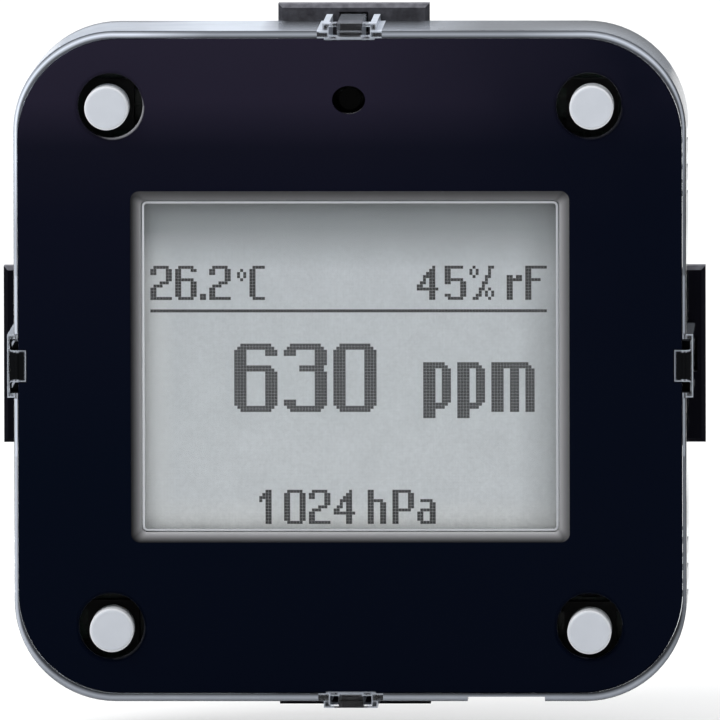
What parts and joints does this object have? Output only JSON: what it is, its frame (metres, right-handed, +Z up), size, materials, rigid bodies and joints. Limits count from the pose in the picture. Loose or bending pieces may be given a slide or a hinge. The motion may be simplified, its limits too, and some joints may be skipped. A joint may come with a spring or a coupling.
{
  "type": "air quality monitor",
  "caption": "Square wall monitor with a recessed display, corner push buttons, a clear clip-on housing and a wall plate.",
  "frame": {"origin": "centre of the support plate's wall face, midway between the wall box screws", "axes": "+Z up with the display upright, -Y out of the display towards the viewer, +X to the viewer's right"},
  "size_m": [0.0852, 0.026, 0.0852],
  "materials": {
    "plate_plastic": "fine textured black ABS",
    "cover_plastic": "fine textured black ABS",
    "panel_gloss": "polished black acrylic",
    "clear_plastic": "clear polycarbonate, polished",
    "lens_clear": "clear acrylic, polished",
    "tape_foam": "black foam tape",
    "frame_metal": "black coated sheet steel",
    "lcd_face": "reflective grey display glass with a satin polariser",
    "lcd_back": "display glass",
    "guide_white": "diffusing acrylic",
    "led_white": "moulded LED",
    "flex_film": "amber polyimide film with copper",
    "socket_plastic": "moulded nylon",
    "board_mask": "dark green solder mask on glass epoxy",
    "co2_board_mask": "green solder mask on glass epoxy",
    "pipe_smoked": "smoked acrylic",
    "header_plastic": "moulded nylon with plated pins",
    "chamber_metal": "gold plated optical chamber",
    "filter_membrane": "white porous membrane",
    "sensor_resin": "moulded epoxy",
    "can_metal": "tinned can",
    "chip_resin": "moulded epoxy",
    "ferrite": "ferrite with a moulded top",
    "capacitor_can": "sleeveless aluminium can",
    "chip_ceramic": "ceramic with tinned ends",
    "terminal_plastic": "moulded green nylon",
    "screw_zinc": "zinc plated",
    "screw_steel": "black oxide steel",
    "switch_plastic": "moulded nylon",
    "stem_plastic": "moulded acetal",
    "cap_plastic": "satin light grey ABS"
  },
  "bodies": {
    "monitor": {"support_plate": "plate_plastic", "rear_cover": "cover_plastic", "front_panel": "panel_gloss", "clear_housing": "clear_plastic", "window_lens": "lens_clear", "lens_tape": "tape_foam", "lcd_frame": "frame_metal", "lcd_front_glass": "lcd_face", "lcd_rear_glass": "lcd_back", "lcd_driver_chip": "chip_resin", "backlight_guide": "guide_white", "backlight_leds": "led_white", "lcd_flex": "flex_film", "flex_socket": "socket_plastic", "main_board": "board_mask", "light_pipe": "pipe_smoked", "light_sensor": "chip_resin", "co2_board": "co2_board_mask", "co2_pin_headers": "header_plastic", "co2_chamber": "chamber_metal", "co2_filter": "filter_membrane", "climate_sensor": "sensor_resin", "pressure_sensor": "can_metal", "processor": "chip_resin", "clock_crystal": "can_metal", "voltage_regulator": "chip_resin", "power_inductor": "ferrite", "smoothing_capacitors": "capacitor_can", "chip_parts": "chip_ceramic", "terminal_block": "terminal_plastic", "terminal_screws": "screw_zinc", "cover_screws": "screw_steel", "board_screws": "screw_steel", "switch_body_upper_left": "switch_plastic", "switch_body_upper_right": "switch_plastic", "switch_body_lower_left": "switch_plastic", "switch_body_lower_right": "switch_plastic"},
    "button_upper_left": {"button_cap_upper_left": "cap_plastic", "switch_stem_upper_left": "stem_plastic"},
    "button_upper_right": {"button_cap_upper_right": "cap_plastic", "switch_stem_upper_right": "stem_plastic"},
    "button_lower_left": {"button_cap_lower_left": "cap_plastic", "switch_stem_lower_left": "stem_plastic"},
    "button_lower_right": {"button_cap_lower_right": "cap_plastic", "switch_stem_lower_right": "stem_plastic"}
  },
  "joints": [
    {"name": "press_upper_left", "type": "slide", "parent": "monitor", "child": "button_upper_left", "axis": [0, 1, 0], "range_m": [0, 0.0006], "stiffness_N_per_m": 1500, "springref_m": -0.0004},
    {"name": "press_upper_right", "type": "slide", "parent": "monitor", "child": "button_upper_right", "axis": [0, 1, 0], "range_m": [0, 0.0006], "stiffness_N_per_m": 1500, "springref_m": -0.0004},
    {"name": "press_lower_left", "type": "slide", "parent": "monitor", "child": "button_lower_left", "axis": [0, 1, 0], "range_m": [0, 0.0006], "stiffness_N_per_m": 1500, "springref_m": -0.0004},
    {"name": "press_lower_right", "type": "slide", "parent": "monitor", "child": "button_lower_right", "axis": [0, 1, 0], "range_m": [0, 0.0006], "stiffness_N_per_m": 1500, "springref_m": -0.0004}
  ]
}
